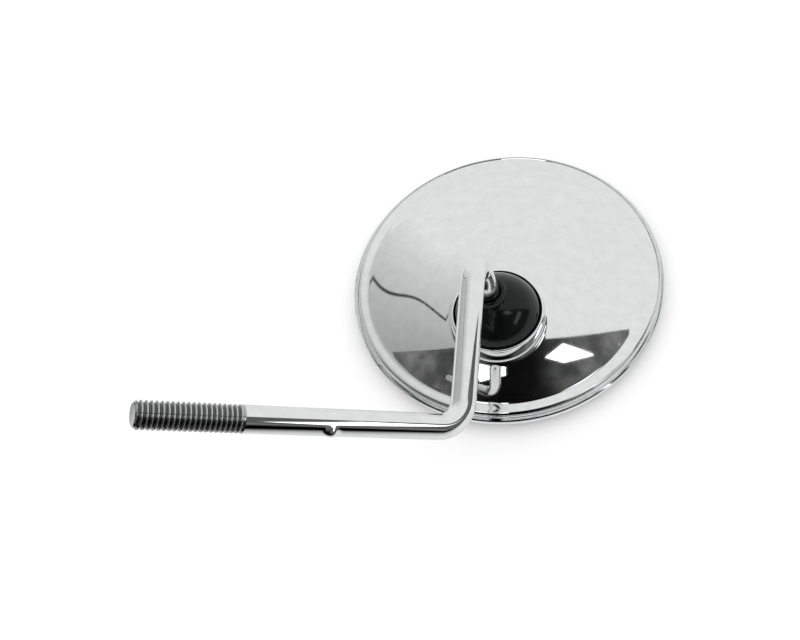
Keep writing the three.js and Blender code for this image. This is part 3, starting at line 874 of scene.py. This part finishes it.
def nib_height(tree, given, length, radial):
    """A small round swelling on one side, flat on top and steep on its flank."""
    away = math_node(tree, "SUBTRACT", length, given["Nib From Tip"])
    away = math_node(tree, "DIVIDE", away, given["Nib Width"])
    facing = node(tree, "ShaderNodeVectorMath", {0: radial, 1: given["Nib Direction"]},
                  operation="DOT_PRODUCT").outputs["Value"]
    off_side = math_node(tree, "SUBTRACT", 1.0, facing)
    off_side = math_node(tree, "MULTIPLY", off_side, NIB_SIDE_FALL)
    spread = math_node(tree, "MULTIPLY_ADD", away, away, off_side)
    spread = math_node(tree, "POWER", spread, NIB_STEEPNESS)
    falloff = math_node(tree, "EXPONENT", math_node(tree, "MULTIPLY", spread, -1.0))
    return math_node(tree, "MULTIPLY", falloff, given["Nib Height"])


# %% [markdown]
# ## From tree to mesh
#
# A modifier takes its inputs by the identifiers of the tree's sockets, not by their names. The result
# is copied to a plain mesh and the modifier is thrown away, so the piece that rides on the stem's
# body is as simple as the others.

# %% Run the tree and keep its mesh
def run_tree(line, tree, values):
    """Evaluates the tree on a line and returns the mesh it makes."""
    holder = bpy.data.objects.new(line.name, line)
    scene.collection.objects.link(holder)
    modifier = holder.modifiers.new("shape", "NODES")
    modifier.node_group = tree
    for item in tree.interface.items_tree:
        if item.in_out == "INPUT" and item.name in values:
            modifier[item.identifier] = values[item.name]
    evaluated = holder.evaluated_get(bpy.context.evaluated_depsgraph_get())
    mesh = bpy.data.meshes.new_from_object(evaluated)
    bpy.data.objects.remove(holder)
    return outward(mesh)


stem_values = {label: value for label, _, value in STEM_INPUTS if value is not None}
stem_values["Material"] = CHROME
stem_mesh = run_tree(line_mesh, stem_tree(), stem_values)
stem_mesh.name = "bent_stem"
piece(stem_mesh, CHROME, "stem_arm", "bright_chrome", "stem")

# %% [markdown]
# ## Studio
#
# Chrome has no look of its own: it shows the room. The head lies on a white table inside a small
# white cloth tent that is open to the front. In front of the tent the room is dark, apart from square
# softboxes on either side of the camera. The cloth and the softboxes are real shapes at real
# distances, seen only in reflections. The plain light that falls on the table comes from the world.
#
# The table is a wide sheet. In the chrome it shows as a shaded copy of itself, with painted shade: a
# greyer white, going black in front of the tent, as a table in a dark room does. From below it is
# clear, so that the glass can be seen. It is also clear to very short mirror rays, which start on the
# glass just above it, so that the glass mirrors the bright space below and not a dark gap.

# %% Floor
FLOOR_HALF = 6.0
# Where the table's painted shade in reflections begins, and where it is fully black.
DARK_START = -0.08
DARK_END = -0.26
TABLE_WHITE = 0.96
TABLE_SHADED_IN_CHROME = 0.70
GLASS_GAP = 0.005
TABLE_ROUGHNESS = 0.9


def floor_material():
    material = bpy.data.materials.new("white table")
    material.use_nodes = True
    tree = material.node_tree
    shader = tree.nodes["Principled BSDF"]
    shader.inputs["Roughness"].default_value = TABLE_ROUGHNESS
    shader.inputs["Specular IOR Level"].default_value = 0.0
    place = node(tree, "ShaderNodeSeparateXYZ",
                 {0: tree.nodes.new("ShaderNodeTexCoord").outputs["Object"]})
    fade = node(tree, "ShaderNodeMapRange", {
        "Value": place.outputs["Y"], "From Min": DARK_START, "From Max": DARK_END,
    }, interpolation_type="SMOOTHSTEP")
    # Painted shade: in reflections the table is a greyer, shaded copy of itself.
    in_mirror = node(tree, "ShaderNodeLightPath").outputs["Is Glossy Ray"]
    white = node(tree, "ShaderNodeMix", {
        "Factor": in_mirror, "A": TABLE_WHITE, "B": TABLE_SHADED_IN_CHROME,
    }, data_type="FLOAT").outputs["Result"]
    tree.links.new(white, shader.inputs["Base Color"])
    # Painted shade: in reflections the table turns black in front of the tent, where a dark room
    # leaves it unlit.
    amount = math_node(tree, "MULTIPLY", fade.outputs["Result"], in_mirror)
    black = node(tree, "ShaderNodeEmission", {"Color": (0, 0, 0, 1), "Strength": 0.0})
    mix = node(tree, "ShaderNodeMixShader", {"Fac": amount})
    tree.links.new(shader.outputs[0], mix.inputs[1])
    tree.links.new(black.outputs[0], mix.inputs[2])
    below = node(tree, "ShaderNodeNewGeometry").outputs["Backfacing"]
    distance = node(tree, "ShaderNodeLightPath").outputs["Ray Length"]
    touching = math_node(tree, "LESS_THAN", distance, GLASS_GAP)
    open_below = math_node(tree, "MULTIPLY_ADD", touching, in_mirror, below)
    clear = node(tree, "ShaderNodeBsdfTransparent")
    one_sided = node(tree, "ShaderNodeMixShader", {"Fac": open_below})
    tree.links.new(mix.outputs[0], one_sided.inputs[1])
    tree.links.new(clear.outputs[0], one_sided.inputs[2])
    tree.links.new(one_sided.outputs[0], tree.nodes["Material Output"].inputs["Surface"])
    return material


# %% Panels that stand round the object
def card(name, corners, material):
    """A flat panel."""
    mesh = bpy.data.meshes.new(name)
    mesh.from_pydata([tuple(c) for c in corners], [], [tuple(range(len(corners)))])
    mesh.materials.append(material)
    made = bpy.data.objects.new(name, mesh)
    scene.collection.objects.link(made)
    return made


def only_in_reflections(made):
    made.visible_camera = False
    made.visible_diffuse = False
    made.visible_shadow = False
    made.visible_transmission = False
    made.visible_volume_scatter = False


floor_corners = [
    (x * FLOOR_HALF, y * FLOOR_HALF, 0) for x, y in ((-1, -1), (1, -1), (1, 1), (-1, 1))
]
card("floor", floor_corners, floor_material())
print("floor:", 2 * FLOOR_HALF, "m across")


# %% [markdown]
# ## Tent
#
# A light tent gives chrome its even pale look, and its mouth gives the dark edge that shows the
# metal's shape. It is an arch, squarer than a half circle, swept back from a mouth that leans
# forward. The cloth glows by itself. Its left side is darker towards the mouth, and one sewn seam with
# a slight wave crosses it.

# %% Tent
TENT_RIGHT = 0.25
TENT_LEFT = -0.30
TENT_TOP = 0.37
TENT_BACK = 0.45
TENT_LEAN = 0.36
TENT_MOUTH = 0.02
MOUTH_SKEW = 0.10
CLOTH_LIGHT = 0.82
SEAM_NORMAL = (0.504, 0.801, 0.325)
SEAM_OFFSET = -0.017
SEAM_WAVES = 22.0
SEAM_PHASE = -1.1
SEAM_SAG = 0.012
SEAM_HALF_WIDTH = 0.0065
SEAM_CORE = 0.001
SEAM_DARK = 0.60
SHADE_START = 0.42
SHADE_SLOPE = 0.45
SHADE_DARK = 0.55
LEFT_START = 0.05
LEFT_END = -0.25
CLOTH_TINT = (0.985, 1.0, 0.995, 1)
ARCH_SQUARENESS = 0.6
ARCH_STEPS = 48
TENT_STEPS = 8


def tent_rows():
    """Arch sections from the leaning mouth to the back wall."""
    rows = []
    mid = (TENT_RIGHT + TENT_LEFT) / 2
    half = (TENT_RIGHT - TENT_LEFT) / 2
    for step in range(TENT_STEPS + 1):
        row = []
        for k in range(ARCH_STEPS + 1):
            angle = math.pi * k / ARCH_STEPS
            side = math.cos(angle)
            x = math.copysign(abs(side) ** ARCH_SQUARENESS, side) * half + mid
            z = abs(math.sin(angle)) ** ARCH_SQUARENESS * TENT_TOP
            mouth = TENT_MOUTH - TENT_LEAN * z + MOUTH_SKEW * x
            row.append((x, mouth + (TENT_BACK - mouth) * step / TENT_STEPS, z))
        rows.append(row)
    return rows


def tent_material():
    material = bpy.data.materials.new("tent cloth")
    material.use_nodes = True
    tree = material.node_tree
    coordinates = tree.nodes.new("ShaderNodeTexCoord").outputs["Object"]
    x, y, z = node(tree, "ShaderNodeSeparateXYZ", {0: coordinates}).outputs
    behind = math_node(tree, "MULTIPLY_ADD", z, SHADE_SLOPE, y)
    left = node(tree, "ShaderNodeMapRange", {
        "Value": x, "From Min": LEFT_START, "From Max": LEFT_END,
    }, interpolation_type="SMOOTHSTEP").outputs["Result"]
    shade = node(tree, "ShaderNodeMapRange", {
        "Value": behind, "From Min": SHADE_START, "From Max": 0.0,
        "To Min": 0.0, "To Max": SHADE_DARK,
    }).outputs["Result"]
    seam = node(tree, "ShaderNodeVectorMath", {0: coordinates, 1: SEAM_NORMAL},
                operation="DOT_PRODUCT").outputs["Value"]
    seam = math_node(tree, "SUBTRACT", seam, SEAM_OFFSET)
    sag = math_node(tree, "SINE", math_node(tree, "MULTIPLY_ADD", z, SEAM_WAVES, SEAM_PHASE))
    seam = math_node(tree, "MULTIPLY_ADD", sag, SEAM_SAG, seam)
    seam = math_node(tree, "ABSOLUTE", seam)
    seam = node(tree, "ShaderNodeMapRange", {
        "Value": seam, "From Min": SEAM_HALF_WIDTH, "From Max": SEAM_CORE,
        "To Min": 0.0, "To Max": SEAM_DARK,
    }, interpolation_type="SMOOTHSTEP").outputs["Result"]
    darker = math_node(tree, "MULTIPLY", math_node(tree, "ADD", shade, seam), left)
    level = math_node(tree, "SUBTRACT", 1.0, darker)
    level = math_node(tree, "MULTIPLY", level, CLOTH_LIGHT)
    glow = node(tree, "ShaderNodeEmission", {"Color": CLOTH_TINT, "Strength": level})
    tree.links.new(glow.outputs[0], tree.nodes["Material Output"].inputs["Surface"])
    return material


def tent():
    rows = tent_rows()
    points = [p for row in rows for p in row]
    width = len(rows[0])
    faces = []
    for r in range(len(rows) - 1):
        for k in range(width - 1):
            a = r * width + k
            faces.append((a, a + 1, a + width + 1, a + width))
    faces.append(tuple(range(len(points) - width, len(points))))
    mesh = bpy.data.meshes.new("tent")
    mesh.from_pydata(points, [], faces)
    mesh.materials.append(tent_material())
    made = bpy.data.objects.new("tent", mesh)
    scene.collection.objects.link(made)
    made.location = HEAD_CENTRE
    only_in_reflections(made)
    print("tent:", len(faces), "faces")


tent()

# %% [markdown]
# ## Softboxes
#
# Bright patches in the dark part of the dome come from softboxes beside and above the camera. The
# dome squeezes what it mirrors, so the corners are placed to give patches of the right outline in the
# chrome, and not to be square boxes. They cast no light on the table: the world does that.

# %% Softboxes
SOFTBOX_STRENGTH = 2.2


def glow_material(name, strength):
    material = bpy.data.materials.new(name)
    material.use_nodes = True
    tree = material.node_tree
    glow = node(tree, "ShaderNodeEmission", {"Color": (1, 1, 1, 1), "Strength": strength})
    tree.links.new(glow.outputs[0], tree.nodes["Material Output"].inputs["Surface"])
    return material


SOFTBOX = glow_material("softbox", SOFTBOX_STRENGTH)
SOFTBOX_CORNERS = {
    "right_softbox": [
        (0.19, -0.24, 0.56), (0.28, -0.15, 0.55), (0.43, -0.17, 0.45), (0.29, -0.25, 0.52),
    ],
    "left_softbox": [
        (-0.20, -0.19, 0.56), (-0.02, -0.22, 0.58), (-0.02, -0.34, 0.54), (-0.16, -0.36, 0.50),
    ],
    "low_softbox": [
        (0.35, -0.30, 0.17), (0.37, -0.05, 0.18), (0.39, -0.06, 0.27), (0.37, -0.30, 0.25),
    ],
}
for box_name, corners in SOFTBOX_CORNERS.items():
    box_card = card(box_name, [HEAD_CENTRE + Vector(c) for c in corners], SOFTBOX)
    only_in_reflections(box_card)
print("softboxes:", len(SOFTBOX_CORNERS))

# %% [markdown]
# ## World light
#
# The world plays three parts, told apart by the kind of ray that asks. The camera sees plain white.
# The table and the dull pieces get soft even daylight. The chrome sees a dark room, a little lighter
# at the sides, with slow streaks so that the dark is never one flat tone. Below the table it is
# bright, which only pieces seen or mirrored from below show.

# %% World light
PALE = 1.0
DAYLIGHT = 1.14
SIDE_START = 0.15
SIDE_END = 0.75
ROOM_MIDDLE = 0.003
ROOM_SIDE = 0.15
STREAK_SIZE = 6.0
STREAK_FROM = (0.4, 0.7)
STREAK_TO = (0.6, 1.5)
BELOW_DEPTH = -0.1
BELOW_LIGHT = 0.75


def studio_world():
    world = bpy.data.worlds.new("studio")
    world.use_nodes = True
    tree = world.node_tree
    tree.nodes.clear()
    ray = node(tree, "ShaderNodeLightPath")
    direction = tree.nodes.new("ShaderNodeTexCoord").outputs["Generated"]
    way = node(tree, "ShaderNodeSeparateXYZ", {0: direction})
    across_room = way.outputs["X"]
    side = node(tree, "ShaderNodeMapRange", {
        "Value": math_node(tree, "ABSOLUTE", across_room),
        "From Min": SIDE_START, "From Max": SIDE_END,
        "To Min": ROOM_MIDDLE, "To Max": ROOM_SIDE,
    }, interpolation_type="SMOOTHSTEP").outputs["Result"]
    streaks = node(tree, "ShaderNodeTexNoise", {
        "Vector": direction, "Scale": STREAK_SIZE, "Detail": 3.0,
    }).outputs["Fac"]
    streaks = node(tree, "ShaderNodeMapRange", {
        "Value": streaks, "From Min": STREAK_FROM[0], "From Max": STREAK_FROM[1],
        "To Min": STREAK_TO[0], "To Max": STREAK_TO[1],
    }).outputs["Result"]
    under = node(tree, "ShaderNodeMapRange", {
        "Value": way.outputs["Z"], "From Min": 0.0, "From Max": BELOW_DEPTH,
        "To Min": 0.0, "To Max": BELOW_LIGHT,
    }).outputs["Result"]
    room = math_node(tree, "MULTIPLY_ADD", side, streaks, under)
    strength = node(tree, "ShaderNodeMix", {
        "Factor": ray.outputs["Is Glossy Ray"], "A": DAYLIGHT, "B": room,
    }, data_type="FLOAT").outputs["Result"]
    strength = node(tree, "ShaderNodeMix", {
        "Factor": ray.outputs["Is Camera Ray"], "A": strength, "B": PALE,
    }, data_type="FLOAT").outputs["Result"]
    background = node(tree, "ShaderNodeBackground", {"Color": (1, 1, 1, 1), "Strength": strength})
    output = tree.nodes.new("ShaderNodeOutputWorld")
    tree.links.new(background.outputs[0], output.inputs["Surface"])
    return world


scene.world = studio_world()
print("world:", scene.world.name)
